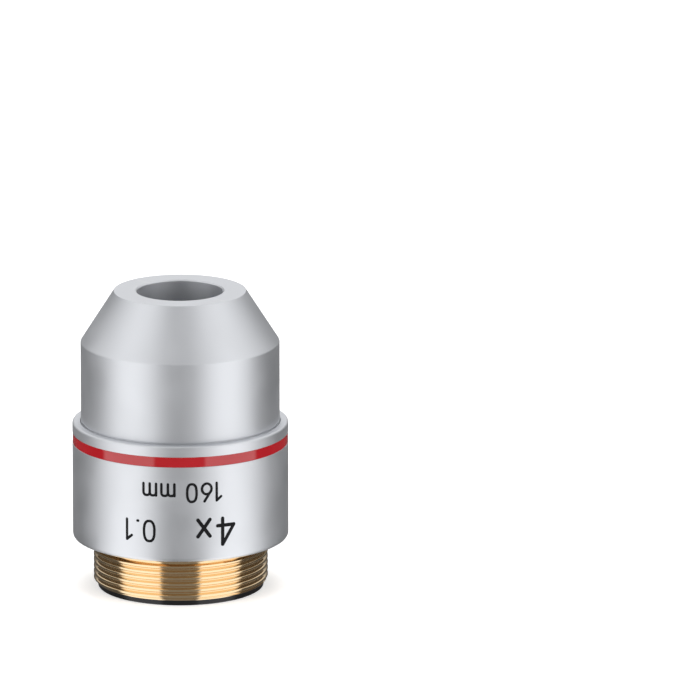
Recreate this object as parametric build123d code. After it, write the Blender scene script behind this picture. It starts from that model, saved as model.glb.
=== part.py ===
from build123d import *

import os
from math import sqrt

# A plan achromat microscope objective for a 160 mm tube, standing on its thread with its nose up.
# Frame: +Z runs along the optical axis towards the specimen. The origin is on that axis, in the plane
# of the mounting shoulder, from which a nosepiece measures the parfocal distance of 45 mm.
# Sizes are millimetres. Radii are measured from the optical axis unless a comment says otherwise.

# Fits
SLIDE_FIT = 0.03         # radial clearance of a cell in the barrel and a lens in its cell
THREAD_FIT = 0.05        # radial clearance between two threaded pieces at their nominal diameters
SEAM_FIT = 0.08          # radial clearance of the nose cap in the sleeve
CEMENT_GAP = 0.01        # optical cement between the two lenses of a doublet
CONTACT_GAP = 0.02       # between a ring's sharp corner and the polished surface it bears on

# Threaded mount. With the walls inside it, its thread comes to the RMS size, 0.8 inch over the crests.
THREAD_WALL = 1.735      # from the mount's bore out to the thread's crest
THREAD_END = 5.1         # from the shoulder down to the end of the brass
THREAD_CHAMFER = 0.35
RELIEF_LENGTH = 0.8      # undercut between the shoulder and the first turn
RELIEF_DEPTH = 0.55
FACE_RELIEF = 0.2        # the undercut runs this far into the shoulder face
SHOULDER_GAP = 0.2       # from the thread's crest out to the flat of the shoulder
FLANGE_HEIGHT = 1.3
SPIGOT_WALL = 1.75       # from the mount's bore out to the tube above the flange
SPIGOT_TOP = 12.5        # from the shoulder up to the end of that tube
SPIGOT_CHAMFER = 0.25

# Outer sleeve, which carries the colour band and the figures
SLEEVE_WALL = 0.93       # where the nose cap's skirt goes in
SLEEVE_RIM = 0.65        # where the mount's flange goes in
SLEEVE_LIFT = 0.2        # the sleeve stops this far above the shoulder plane
SLEEVE_TOP = 14.0
SLEEVE_TOP_BEVEL = 0.28
SLEEVE_BOTTOM_BEVEL = 0.45
SOCKET_DEPTH = 4.4       # how far the nose cap's skirt goes into the sleeve

# Colour band
BAND_BELOW_TOP = 1.28
BAND_WIDTH = 1.2
BAND_GROOVE = 0.15
ENAMEL_SINK = 0.04       # the enamel lies this far below the sleeve's surface
ENAMEL_GAP = 0.01

# Nose cap
NOSE_WALL = 1.34
NOSE_CYLINDER = 9.43     # straight part, from the sleeve's top up to the cone
CONE_HEIGHT = 6.07
FACE_RADIUS = 7.67
FACE_BEVEL = 0.15
FRONT_BORE = 5.0         # radius of the hole in the front face
BORE_BEVEL = 0.15
FRONT_WALL = 3.2         # thickness of the front face
BARREL_GAP = 0.4         # all round the barrel's nose and in front of it
SEAM_GROOVE_HEIGHT = 0.15
SEAM_GROOVE_DEPTH = 0.15
SKIRT_CHAMFER = 0.3

# Lens barrel and what locks it
BARREL_WALL = 2.1        # at its thread
BARREL_NECK_STEP = 0.45  # the barrel is this much slimmer above its thread
BARREL_LIP = 0.8         # stops the stack of cells at the front
BARREL_LIP_WIDTH = 1.05
BARREL_THREAD_ABOVE = 2.7  # thread showing above the mount's tube
BARREL_TAIL = 0.2        # barrel left behind the stack's lock ring
LOCK_NUT_HEIGHT = 1.8
LOCK_NUT_WIDTH = 1.5
NUT_SLOTS = 4
NUT_SLOT_WIDTH = 1.4
NUT_SLOT_DEPTH = 0.8
GRUB_SCREWS = 3
GRUB_RADIUS = 0.8        # of the screw itself
GRUB_HEIGHT = 5.6        # above the shoulder plane
GRUB_HOLE_FIT = 0.03
GRUB_SINK = 0.1          # below the mount's outside
GRUB_POINT = 0.35        # height of the cone point
GRUB_SLOT_WIDTH = 0.3
GRUB_SLOT_DEPTH = 0.4

# Rear stop ring, the black ring under the thread
STOP_FLANGE_HEIGHT = 0.65
STOP_FLANGE_STEP = 0.5   # the flange is this much smaller in radius than the thread
STOP_SPIGOT_LENGTH = 2.0
STOP_WALL = 1.75
STOP_BEVEL = 0.18
STOP_BAFFLE_BEVEL = 0.9  # conical mouth at its inner end, against stray light
STOP_SLOT_WIDTH = 1.3
STOP_SLOT_DEPTH = 0.9
STOP_SLOT_LENGTH = 1.9

# Lenses, from the specimen back. Each curve is a radius of curvature, with its centre on the axis.
# A lens that bulges on both sides is set by the thickness of its edge, and the others by their middle.
REAR_LENS_RADIUS = 5.1   # half the diameter of the largest lens: all other radii follow from it
FRONT_CURVE = 12.39      # convex towards the specimen
FRONT_CEMENT_CURVE = 12.0
FRONT_REAR_CURVE = 60.0  # convex towards the eyepiece
FRONT_CROWN_EDGE = 0.944
FRONT_FLINT_MIDDLE = 1.2
MIDDLE_FRONT_CURVE = 13.24   # hollow
MIDDLE_REAR_CURVE = 8.28     # hollow
MIDDLE_LENS_MIDDLE = 1.6
MIDDLE_FRONT_LAND = 0.45     # flat rim around each hollow
MIDDLE_REAR_LAND = 0.55
REAR_FRONT_CURVE = 42.0  # convex towards the specimen
REAR_CEMENT_CURVE = 12.5
REAR_CURVE = 11.61       # convex towards the eyepiece
REAR_FLINT_MIDDLE = 1.3
REAR_CROWN_EDGE = 1.332
CEMENTED_LAND = 0.1      # flat rim around the hollow in a cemented pair
GRINDING_SPARE = 0.5     # glass beyond a bulging face, which grinding takes off

# Cells and rings in the stack
FRONT_CELL_WALL = 1.29   # around the lens
MIDDLE_CELL_WALL = 2.24
REAR_CELL_WALL = 1.09
FRONT_LIP = 1.93
FRONT_LIP_WIDTH = 0.4    # how far the lip covers the lens's edge
FRONT_MOUTH = 0.3        # the lip's opening flares by this much at the front
FRONT_RING_WIDTH = 0.6
FRONT_RING_HEIGHT = 1.0
FRONT_CELL_TAIL = 0.35
SPACER_WALL = 0.95
FRONT_SPACER_LENGTH = 2.69
SHIM_THICKNESS = 0.15
MIDDLE_RING_RECESS = 0.18
MIDDLE_RING_HEIGHT = 0.6
MIDDLE_RING_WIDTH = 0.4
MIDDLE_SEAT_HEIGHT = 0.57
MIDDLE_SEAT_WIDTH = 0.55
STOP_DISC_THICKNESS = 0.4
STOP_APERTURE = 2.33
STOP_DISC_BEVEL = 0.3
REAR_SPACER_LENGTH = 2.6
REAR_LIP = 1.55
REAR_LIP_WIDTH = 0.4
REAR_RING_HEIGHT = 1.2
REAR_RING_WIDTH = 0.5
REAR_CELL_TAIL = 0.12
LOCK_RING_HEIGHT = 1.1
LOCK_RING_WIDTH = 1.2
RING_SLOT_WIDTH = 0.8
RING_SLOT_DEPTH = 0.45

# Radii that follow, from the largest lens outwards, with the two smaller lenses inside cells of one size
CELL_RADIUS = REAR_LENS_RADIUS + SLIDE_FIT + REAR_CELL_WALL
FRONT_LENS_RADIUS = CELL_RADIUS - FRONT_CELL_WALL - SLIDE_FIT
MIDDLE_LENS_RADIUS = CELL_RADIUS - MIDDLE_CELL_WALL - SLIDE_FIT
BARREL_BORE = CELL_RADIUS + SLIDE_FIT
BARREL_RADIUS = BARREL_BORE + BARREL_WALL
BARREL_NECK = BARREL_RADIUS - BARREL_NECK_STEP
MOUNT_BORE = BARREL_RADIUS + THREAD_FIT
THREAD_RADIUS = MOUNT_BORE + THREAD_WALL
SPIGOT_RADIUS = MOUNT_BORE + SPIGOT_WALL
NOSE_BORE = SPIGOT_RADIUS + THREAD_FIT
NOSE_RADIUS = NOSE_BORE + NOSE_WALL
SOCKET_RADIUS = NOSE_RADIUS + SEAM_FIT
SLEEVE_RADIUS = SOCKET_RADIUS + SLEEVE_WALL
FLANGE_RADIUS = SLEEVE_RADIUS - SLEEVE_RIM - SLIDE_FIT
NOSE_CAVITY = BARREL_NECK + BARREL_GAP

# Heights that follow, from the shoulder up to the face
SOCKET_FLOOR = SLEEVE_TOP - SOCKET_DEPTH
CONE_BASE = SLEEVE_TOP + NOSE_CYLINDER
NOSE_TOP = CONE_BASE + CONE_HEIGHT
CAVITY_TOP = NOSE_TOP - FRONT_WALL
BAND_TOP = SLEEVE_TOP - BAND_BELOW_TOP
BAND_BOTTOM = BAND_TOP - BAND_WIDTH


def sag(curve, radius):
    """Depth of a spherical cap with this radius of curvature, out to this radius."""
    return curve - sqrt(curve * curve - radius * radius)


# Heights of the stack, from the barrel's front end down. A vertex is where a face crosses the axis.
BARREL_FRONT = CAVITY_TOP - BARREL_GAP
FRONT_CELL_TOP = BARREL_FRONT - BARREL_LIP
FRONT_SEAT_RADIUS = FRONT_LENS_RADIUS - FRONT_LIP_WIDTH
FRONT_SEAT = FRONT_CELL_TOP - FRONT_LIP
FRONT_VERTEX = FRONT_SEAT - CONTACT_GAP + sag(FRONT_CURVE, FRONT_SEAT_RADIUS)
FRONT_CROWN_SAGS = sag(FRONT_CURVE, FRONT_LENS_RADIUS) + sag(FRONT_CEMENT_CURVE, FRONT_LENS_RADIUS)
FRONT_CROWN_BACK = FRONT_VERTEX - FRONT_CROWN_EDGE - FRONT_CROWN_SAGS
FRONT_FLINT_VERTEX = FRONT_CROWN_BACK - CEMENT_GAP
FRONT_FLINT_BACK = FRONT_FLINT_VERTEX - FRONT_FLINT_MIDDLE
FRONT_RING_BORE = FRONT_LENS_RADIUS - FRONT_RING_WIDTH
FRONT_RING_TOP = FRONT_FLINT_BACK + sag(FRONT_REAR_CURVE, FRONT_RING_BORE) - CONTACT_GAP
FRONT_CELL_BOTTOM = FRONT_RING_TOP - FRONT_RING_HEIGHT - FRONT_CELL_TAIL
SHIM_TOP = FRONT_CELL_BOTTOM - FRONT_SPACER_LENGTH
MIDDLE_CELL_TOP = SHIM_TOP - SHIM_THICKNESS
MIDDLE_RING_TOP = MIDDLE_CELL_TOP - MIDDLE_RING_RECESS
MIDDLE_RIM_TOP = MIDDLE_RING_TOP - MIDDLE_RING_HEIGHT
MIDDLE_VERTEX = MIDDLE_RIM_TOP - sag(MIDDLE_FRONT_CURVE, MIDDLE_LENS_RADIUS - MIDDLE_FRONT_LAND)
MIDDLE_BACK = MIDDLE_VERTEX - MIDDLE_LENS_MIDDLE
MIDDLE_SEAT = MIDDLE_BACK - sag(MIDDLE_REAR_CURVE, MIDDLE_LENS_RADIUS - MIDDLE_REAR_LAND)
MIDDLE_CELL_BOTTOM = MIDDLE_SEAT - MIDDLE_SEAT_HEIGHT
STOP_DISC_BOTTOM = MIDDLE_CELL_BOTTOM - STOP_DISC_THICKNESS
REAR_CELL_TOP = STOP_DISC_BOTTOM - REAR_SPACER_LENGTH
REAR_SEAT_RADIUS = REAR_LENS_RADIUS - REAR_LIP_WIDTH
REAR_SEAT = REAR_CELL_TOP - REAR_LIP
REAR_VERTEX = REAR_SEAT - CONTACT_GAP + sag(REAR_FRONT_CURVE, REAR_SEAT_RADIUS)
REAR_FLINT_BACK = REAR_VERTEX - REAR_FLINT_MIDDLE
REAR_CROWN_VERTEX = REAR_FLINT_BACK - CEMENT_GAP
REAR_CROWN_SAGS = sag(REAR_CEMENT_CURVE, REAR_LENS_RADIUS) + sag(REAR_CURVE, REAR_LENS_RADIUS)
REAR_CROWN_BACK = REAR_CROWN_VERTEX - REAR_CROWN_EDGE - REAR_CROWN_SAGS
REAR_RING_BORE = REAR_LENS_RADIUS - REAR_RING_WIDTH
REAR_RING_TOP = REAR_CROWN_BACK + sag(REAR_CURVE, REAR_RING_BORE) - CONTACT_GAP
REAR_CELL_BOTTOM = REAR_RING_TOP - REAR_RING_HEIGHT - REAR_CELL_TAIL
LOCK_RING_BOTTOM = REAR_CELL_BOTTOM - LOCK_RING_HEIGHT
BARREL_REAR = LOCK_RING_BOTTOM - BARREL_TAIL


def turned(*points):
    """A piece turned on a lathe: a closed outline of (radius, height) points, spun about the axis."""
    outline = Polyline(*[(radius, 0, height) for radius, height in points], close=True)
    return revolve(make_face(outline), Axis.Z)


def ring(inner, outer, bottom, top):
    """A plain turned ring."""
    return turned((inner, bottom), (outer, bottom), (outer, top), (inner, top))


def ground_lens(radius, front, front_curve, back, back_curve, front_land=0.0, back_land=0.0):
    """A glass disc ground on both sides by balls. Front and back are the heights of its two vertices.

    A positive curve bulges out of the glass. A negative one is hollow, with a flat land around it.
    Each ball lies on its side, so that its poles and its seam stay off the lens.
    """

    def reach(curve, land):
        """How far the disc stands out beyond the vertex before it is ground."""
        return GRINDING_SPARE if curve > 0 else sag(-curve, radius - land)

    start = back - reach(back_curve, back_land)
    height = front + reach(front_curve, front_land) - start
    lens = Pos(0, 0, start) * Cylinder(radius, height, align=(Align.CENTER, Align.CENTER, Align.MIN))
    for curve, centre in ((front_curve, front - front_curve), (back_curve, back + back_curve)):
        ball = Pos(0, 0, centre) * Rot(90, 0, 0) * Sphere(abs(curve))
        lens = lens & ball if curve > 0 else lens - ball
    return lens


def spanner_slots(width, depth, reach, face, count=2, in_rear_face=True):
    """Bars to cut, from the axis out to this reach, sunk by depth into the face at this height."""
    side = Align.MIN if in_rear_face else Align.MAX
    bar = Box(reach, width, depth, align=(Align.MIN, Align.CENTER, side))
    return [Rot(0, 0, 360 / count * turn) * Pos(0, 0, face) * bar for turn in range(count)]


def grub_places():
    """Where the grub screws point at the axis: their own Z runs outwards along a radius of the mount."""
    for turn in range(GRUB_SCREWS):
        yield Rot(0, 0, 360 / GRUB_SCREWS * turn) * Pos(0, 0, GRUB_HEIGHT) * Rot(0, 90, 0)


def threaded_mount():
    """Brass body: the thread, the shoulder flange and the tube that carries everything else."""
    relief = THREAD_RADIUS - RELIEF_DEPTH
    flat = THREAD_RADIUS + SHOULDER_GAP
    body = turned(
        (MOUNT_BORE, -THREAD_END),
        (THREAD_RADIUS - THREAD_CHAMFER, -THREAD_END),
        (THREAD_RADIUS, -THREAD_END + THREAD_CHAMFER),
        (THREAD_RADIUS, -RELIEF_LENGTH),
        (relief, -RELIEF_LENGTH),
        (relief, FACE_RELIEF),
        (flat, FACE_RELIEF),
        (flat, 0),
        (FLANGE_RADIUS, 0),
        (FLANGE_RADIUS, FLANGE_HEIGHT),
        (SPIGOT_RADIUS, FLANGE_HEIGHT),
        (SPIGOT_RADIUS, SPIGOT_TOP - SPIGOT_CHAMFER),
        (SPIGOT_RADIUS - SPIGOT_CHAMFER, SPIGOT_TOP),
        (MOUNT_BORE, SPIGOT_TOP),
    )
    hole = Cylinder(
        GRUB_RADIUS + GRUB_HOLE_FIT,
        FLANGE_RADIUS,
        align=(Align.CENTER, Align.CENTER, Align.MIN),
    )
    return body - [place * hole for place in grub_places()]


def outer_sleeve():
    """Wide silver sleeve, held between the mount's flange and the nose cap's skirt."""
    groove = SLEEVE_RADIUS - BAND_GROOVE
    counterbore = FLANGE_RADIUS + SLIDE_FIT
    return turned(
        (counterbore, SLEEVE_LIFT),
        (SLEEVE_RADIUS - SLEEVE_BOTTOM_BEVEL, SLEEVE_LIFT),
        (SLEEVE_RADIUS, SLEEVE_LIFT + SLEEVE_BOTTOM_BEVEL),
        (SLEEVE_RADIUS, BAND_BOTTOM),
        (groove, BAND_BOTTOM),
        (groove, BAND_TOP),
        (SLEEVE_RADIUS, BAND_TOP),
        (SLEEVE_RADIUS, SLEEVE_TOP - SLEEVE_TOP_BEVEL),
        (SLEEVE_RADIUS - SLEEVE_TOP_BEVEL, SLEEVE_TOP),
        (SOCKET_RADIUS, SLEEVE_TOP),
        (SOCKET_RADIUS, SOCKET_FLOOR),
        (NOSE_BORE, SOCKET_FLOOR),
        (NOSE_BORE, FLANGE_HEIGHT),
        (counterbore, FLANGE_HEIGHT),
    )


def colour_band():
    """Ring of enamel that fills the sleeve's groove, a little below its surface."""
    groove = SLEEVE_RADIUS - BAND_GROOVE
    return ring(groove + ENAMEL_GAP, SLEEVE_RADIUS - ENAMEL_SINK, BAND_BOTTOM, BAND_TOP)


def nose_cap():
    """Silver cap: a skirt that screws on the mount's tube, a straight part, and a cone with the hole."""
    slope = (NOSE_RADIUS - FACE_RADIUS) / CONE_HEIGHT
    cavity_shoulder = CAVITY_TOP - (NOSE_BORE - NOSE_CAVITY) / slope
    groove = NOSE_RADIUS - SEAM_GROOVE_DEPTH
    return turned(
        (NOSE_BORE, SOCKET_FLOOR),
        (NOSE_RADIUS - SKIRT_CHAMFER, SOCKET_FLOOR),
        (NOSE_RADIUS, SOCKET_FLOOR + SKIRT_CHAMFER),
        (NOSE_RADIUS, SLEEVE_TOP),
        (groove, SLEEVE_TOP),
        (groove, SLEEVE_TOP + SEAM_GROOVE_HEIGHT),
        (NOSE_RADIUS, SLEEVE_TOP + SEAM_GROOVE_HEIGHT),
        (NOSE_RADIUS, CONE_BASE),
        (FACE_RADIUS + FACE_BEVEL * slope, NOSE_TOP - FACE_BEVEL),
        (FACE_RADIUS - FACE_BEVEL, NOSE_TOP),
        (FRONT_BORE + BORE_BEVEL, NOSE_TOP),
        (FRONT_BORE, NOSE_TOP - BORE_BEVEL),
        (FRONT_BORE, CAVITY_TOP),
        (NOSE_CAVITY, CAVITY_TOP),
        (NOSE_BORE, cavity_shoulder),
    )


def lens_barrel():
    """Black tube that holds the stack of cells and screws into the mount to set the parfocal distance."""
    neck = SPIGOT_TOP + BARREL_THREAD_ABOVE
    lip_bore = BARREL_BORE - BARREL_LIP_WIDTH
    return turned(
        (BARREL_BORE, BARREL_REAR),
        (BARREL_RADIUS, BARREL_REAR),
        (BARREL_RADIUS, neck),
        (BARREL_NECK, neck),
        (BARREL_NECK, BARREL_FRONT),
        (lip_bore, BARREL_FRONT),
        (lip_bore, FRONT_CELL_TOP),
        (BARREL_BORE, FRONT_CELL_TOP),
    )


def parfocal_lock_nut():
    """Slotted nut that locks the barrel against the end of the mount's tube."""
    outer = MOUNT_BORE + LOCK_NUT_WIDTH
    top = SPIGOT_TOP + LOCK_NUT_HEIGHT
    slots = spanner_slots(NUT_SLOT_WIDTH, NUT_SLOT_DEPTH, outer + NUT_SLOT_DEPTH, top, NUT_SLOTS, False)
    return ring(BARREL_RADIUS + THREAD_FIT, outer, SPIGOT_TOP, top) - slots


def barrel_grub_screws():
    """Slotted screws with cone points, through the mount's wall, that stop the barrel turning."""
    length = SPIGOT_RADIUS - GRUB_SINK - BARREL_RADIUS - CONTACT_GAP
    shank = turned(
        (0, 0),
        (GRUB_RADIUS, GRUB_POINT),
        (GRUB_RADIUS, length),
        (0, length),
    )
    slot = Box(
        GRUB_RADIUS * 2 + GRUB_SLOT_WIDTH,
        GRUB_SLOT_WIDTH,
        GRUB_SLOT_DEPTH,
        align=(Align.CENTER, Align.CENTER, Align.MAX),
    )
    screw = shank - Pos(0, 0, length) * slot
    start = Pos(0, 0, BARREL_RADIUS + CONTACT_GAP)
    return Compound(children=[place * start * screw for place in grub_places()])


def rear_stop_ring():
    """Black ring screwed into the rear of the mount, with a flange on the end of the thread."""
    outer = THREAD_RADIUS - STOP_FLANGE_STEP
    spigot = MOUNT_BORE - THREAD_FIT
    bore = MOUNT_BORE - STOP_WALL
    bottom = -THREAD_END - STOP_FLANGE_HEIGHT
    top = -THREAD_END + STOP_SPIGOT_LENGTH
    body = turned(
        (bore, bottom),
        (outer - STOP_BEVEL, bottom),
        (outer, bottom + STOP_BEVEL),
        (outer, -THREAD_END),
        (spigot, -THREAD_END),
        (spigot, top),
        (bore + STOP_BAFFLE_BEVEL, top),
        (bore, top - STOP_BAFFLE_BEVEL),
    )
    return body - spanner_slots(STOP_SLOT_WIDTH, STOP_SLOT_DEPTH, bore + STOP_SLOT_LENGTH, bottom)


def front_cell():
    """Cell with a lip in front of the front doublet and a thread for its ring behind it."""
    bore = FRONT_LENS_RADIUS + SLIDE_FIT
    return turned(
        (bore, FRONT_CELL_BOTTOM),
        (CELL_RADIUS, FRONT_CELL_BOTTOM),
        (CELL_RADIUS, FRONT_CELL_TOP),
        (FRONT_SEAT_RADIUS + FRONT_MOUTH, FRONT_CELL_TOP),
        (FRONT_SEAT_RADIUS, FRONT_SEAT),
        (bore, FRONT_SEAT),
    )


def front_crown_lens():
    """First lens, which bulges on both sides."""
    return ground_lens(
        FRONT_LENS_RADIUS,
        FRONT_VERTEX,
        FRONT_CURVE,
        FRONT_CROWN_BACK,
        FRONT_CEMENT_CURVE,
    )


def front_flint_lens():
    """Second lens, with the first one cemented in its hollow front."""
    return ground_lens(
        FRONT_LENS_RADIUS,
        FRONT_FLINT_VERTEX,
        -FRONT_CEMENT_CURVE,
        FRONT_FLINT_BACK,
        FRONT_REAR_CURVE,
        front_land=CEMENTED_LAND,
    )


def slotted_ring(inner, outer, bottom, top, slots_behind=True):
    """Threaded retaining ring with two spanner slots right across the face that a spanner reaches."""
    face = bottom if slots_behind else top
    slots = spanner_slots(RING_SLOT_WIDTH, RING_SLOT_DEPTH, outer + RING_SLOT_DEPTH, face, 2, slots_behind)
    return ring(inner, outer, bottom, top) - slots


def front_retainer():
    """Ring that holds the front doublet against its lip."""
    return slotted_ring(
        FRONT_RING_BORE,
        FRONT_LENS_RADIUS,
        FRONT_RING_TOP - FRONT_RING_HEIGHT,
        FRONT_RING_TOP,
    )


def front_spacer():
    """Tube between the front and middle cells."""
    return ring(CELL_RADIUS - SPACER_WALL, CELL_RADIUS, SHIM_TOP, FRONT_CELL_BOTTOM)


def air_gap_shim():
    """Thin brass ring, chosen at assembly to trim the space before the middle lens."""
    return ring(CELL_RADIUS - SPACER_WALL, CELL_RADIUS, MIDDLE_CELL_TOP, SHIM_TOP)


def middle_cell():
    """Cell with a flat seat behind the middle lens and a thread for its ring in front."""
    bore = MIDDLE_LENS_RADIUS + SLIDE_FIT
    seat_bore = MIDDLE_LENS_RADIUS - MIDDLE_SEAT_WIDTH
    return turned(
        (seat_bore, MIDDLE_CELL_BOTTOM),
        (CELL_RADIUS, MIDDLE_CELL_BOTTOM),
        (CELL_RADIUS, MIDDLE_CELL_TOP),
        (bore, MIDDLE_CELL_TOP),
        (bore, MIDDLE_SEAT),
        (seat_bore, MIDDLE_SEAT),
    )


def middle_lens():
    """Third lens, hollow on both sides with flat rims: it flattens the field."""
    return ground_lens(
        MIDDLE_LENS_RADIUS,
        MIDDLE_VERTEX,
        -MIDDLE_FRONT_CURVE,
        MIDDLE_BACK,
        -MIDDLE_REAR_CURVE,
        MIDDLE_FRONT_LAND,
        MIDDLE_REAR_LAND,
    )


def middle_retainer():
    """Ring that holds the middle lens down on its seat."""
    return slotted_ring(
        MIDDLE_LENS_RADIUS - MIDDLE_RING_WIDTH,
        MIDDLE_LENS_RADIUS,
        MIDDLE_RIM_TOP,
        MIDDLE_RING_TOP,
        slots_behind=False,
    )


def aperture_stop():
    """Disc whose bevelled hole sets the numerical aperture of 0.1."""
    return turned(
        (STOP_APERTURE + STOP_DISC_BEVEL, STOP_DISC_BOTTOM),
        (CELL_RADIUS, STOP_DISC_BOTTOM),
        (CELL_RADIUS, MIDDLE_CELL_BOTTOM),
        (STOP_APERTURE, MIDDLE_CELL_BOTTOM),
    )


def rear_spacer():
    """Tube between the aperture stop and the rear cell."""
    return ring(CELL_RADIUS - SPACER_WALL, CELL_RADIUS, REAR_CELL_TOP, STOP_DISC_BOTTOM)


def rear_cell():
    """Cell with a lip in front of the rear doublet and a thread for its ring behind it."""
    bore = REAR_LENS_RADIUS + SLIDE_FIT
    return turned(
        (bore, REAR_CELL_BOTTOM),
        (CELL_RADIUS, REAR_CELL_BOTTOM),
        (CELL_RADIUS, REAR_CELL_TOP),
        (REAR_SEAT_RADIUS, REAR_CELL_TOP),
        (REAR_SEAT_RADIUS, REAR_SEAT),
        (bore, REAR_SEAT),
    )


def rear_flint_lens():
    """Fourth lens: convex in front, hollow behind."""
    return ground_lens(
        REAR_LENS_RADIUS,
        REAR_VERTEX,
        REAR_FRONT_CURVE,
        REAR_FLINT_BACK,
        -REAR_CEMENT_CURVE,
        back_land=CEMENTED_LAND,
    )


def rear_crown_lens():
    """Fifth lens, cemented in the hollow behind the fourth. It bulges on both sides."""
    return ground_lens(
        REAR_LENS_RADIUS,
        REAR_CROWN_VERTEX,
        REAR_CEMENT_CURVE,
        REAR_CROWN_BACK,
        REAR_CURVE,
    )


def rear_retainer():
    """Ring that holds the rear doublet against its lip."""
    return slotted_ring(
        REAR_RING_BORE,
        REAR_LENS_RADIUS,
        REAR_RING_TOP - REAR_RING_HEIGHT,
        REAR_RING_TOP,
    )


def stack_lock_ring():
    """Ring screwed into the rear of the barrel, which clamps the whole stack of cells."""
    return slotted_ring(CELL_RADIUS - LOCK_RING_WIDTH, CELL_RADIUS, LOCK_RING_BOTTOM, REAR_CELL_BOTTOM)


PIECES = [
    threaded_mount,
    outer_sleeve,
    colour_band,
    nose_cap,
    lens_barrel,
    parfocal_lock_nut,
    barrel_grub_screws,
    rear_stop_ring,
    front_cell,
    front_crown_lens,
    front_flint_lens,
    front_retainer,
    front_spacer,
    air_gap_shim,
    middle_cell,
    middle_lens,
    middle_retainer,
    aperture_stop,
    rear_spacer,
    rear_cell,
    rear_flint_lens,
    rear_crown_lens,
    rear_retainer,
    stack_lock_ring,
]

os.makedirs("parts", exist_ok=True)
for piece in PIECES:
    export_step(piece(), f"parts/{piece.__name__}.step")
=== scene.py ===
"""A low-power microscope objective on a white table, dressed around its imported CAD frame.

The objective stands on the black ring under its mounting thread, with its nose up. The optical axis is
Z, the origin lies in the plane of the mounting shoulder, and the figures on the sleeve face -Y, where
the camera is. Sizes are millimetres unless a comment says otherwise, and they become metres when a
mesh is made.
"""

import logging
import math
from dataclasses import dataclass
from enum import Enum

import bmesh
import bpy
import numpy as np
from mathutils import Matrix, Vector


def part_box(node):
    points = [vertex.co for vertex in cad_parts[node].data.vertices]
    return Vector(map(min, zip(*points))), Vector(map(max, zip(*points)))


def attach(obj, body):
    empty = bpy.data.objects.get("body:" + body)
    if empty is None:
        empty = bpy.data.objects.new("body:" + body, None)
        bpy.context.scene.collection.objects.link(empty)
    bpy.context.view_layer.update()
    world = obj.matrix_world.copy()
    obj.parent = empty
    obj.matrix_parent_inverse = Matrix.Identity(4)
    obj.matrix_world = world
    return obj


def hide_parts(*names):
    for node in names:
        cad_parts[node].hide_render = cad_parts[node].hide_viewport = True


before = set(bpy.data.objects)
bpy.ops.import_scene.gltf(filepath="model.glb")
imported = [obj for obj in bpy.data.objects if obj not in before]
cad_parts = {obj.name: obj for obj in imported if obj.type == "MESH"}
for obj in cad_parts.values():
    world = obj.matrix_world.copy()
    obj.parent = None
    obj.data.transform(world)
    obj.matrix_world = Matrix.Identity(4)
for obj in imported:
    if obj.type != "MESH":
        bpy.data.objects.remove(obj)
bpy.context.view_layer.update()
log = logging.getLogger("objective")

MM = 0.001               # one millimetre in Blender's metres
BODY = "root"            # nothing moves in this objective, so all of it rides on one body
TURN = 2 * math.pi
COLUMNS = 288            # steps round the axis in every turned piece
CREASE = 35.0            # edges that fold by more than this many degrees are shaded sharp
WELD = 0.0004            # vertices nearer than this become one
Colour = tuple[float, float, float]
Point = tuple[float, float, float]


class Slot(Enum):
    """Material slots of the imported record."""

    CHROME = "satin_chrome"
    BRASS = "turned_brass"
    BLACKENED = "blackened_brass"
    ANODISED = "black_anodised"
    STEEL = "black_steel"
    ENAMEL = "red_enamel"
    PAINT = "figure_paint"
    GLASS = "lens_glass"


# Turned surfaces

def rounded_outline(corners: list[tuple[float, float, float]], steps: int = 4) -> np.ndarray:
    """Round every corner of a closed outline.

    At a corner P the outline arrives along the unit vector a and leaves along b, turned by an angle t.
    Its arc of radius R starts at P - a R tan(t/2), and the point after a share s of the turn is
    C - n R cos(s t) + a R sin(s t), where n is the normal towards the centre C of the arc. A guard
    point on each side of the arc keeps the shading of the flats flat.

    Args:
        corners: points (radius, height, corner radius), counter-clockwise in the plane of r and z.
        steps: number of chords in each arc.

    Returns:
        Array (points, 2) of radius and height along the rounded outline.
    """
    guard = 0.02
    table = np.array(corners, float)
    points, sizes = table[:, :2], table[:, 2:]
    arriving = points - np.roll(points, 1, axis=0)
    leaving = np.roll(points, -1, axis=0) - points
    arriving /= np.linalg.norm(arriving, axis=1, keepdims=True)
    leaving /= np.linalg.norm(leaving, axis=1, keepdims=True)
    cross = arriving[:, :1] * leaving[:, 1:] - arriving[:, 1:] * leaving[:, :1]
    turn = np.arctan2(np.abs(cross), (arriving * leaving).sum(axis=1, keepdims=True))
    normal = np.sign(cross) * np.stack([-arriving[:, 1], arriving[:, 0]], axis=1)
    reach = sizes * np.tan(turn / 2)
    start = points - arriving * reach
    centre = start + normal * sizes
    bend = turn * np.linspace(0, 1, steps + 1)
    arc = (
        centre[:, None]
        - normal[:, None] * (sizes * np.cos(bend))[..., None]
        + arriving[:, None] * (sizes * np.sin(bend))[..., None]
    )
    before = (start - arriving * guard)[:, None]
    after = (points + leaving * (reach + guard))[:, None]
    return np.concatenate([before, arc, after], axis=1).reshape(-1, 2)


def grid_faces(index: np.ndarray) -> np.ndarray:
    """Quads between neighbouring columns (axis 0) and rows (axis 1) of a grid of vertex numbers."""
    left, right = index[:-1], index[1:]
    quads = np.stack([left[:, :-1], right[:, :-1], right[:, 1:], left[:, 1:]], axis=-1)
    return quads.reshape(-1, 4)


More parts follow.
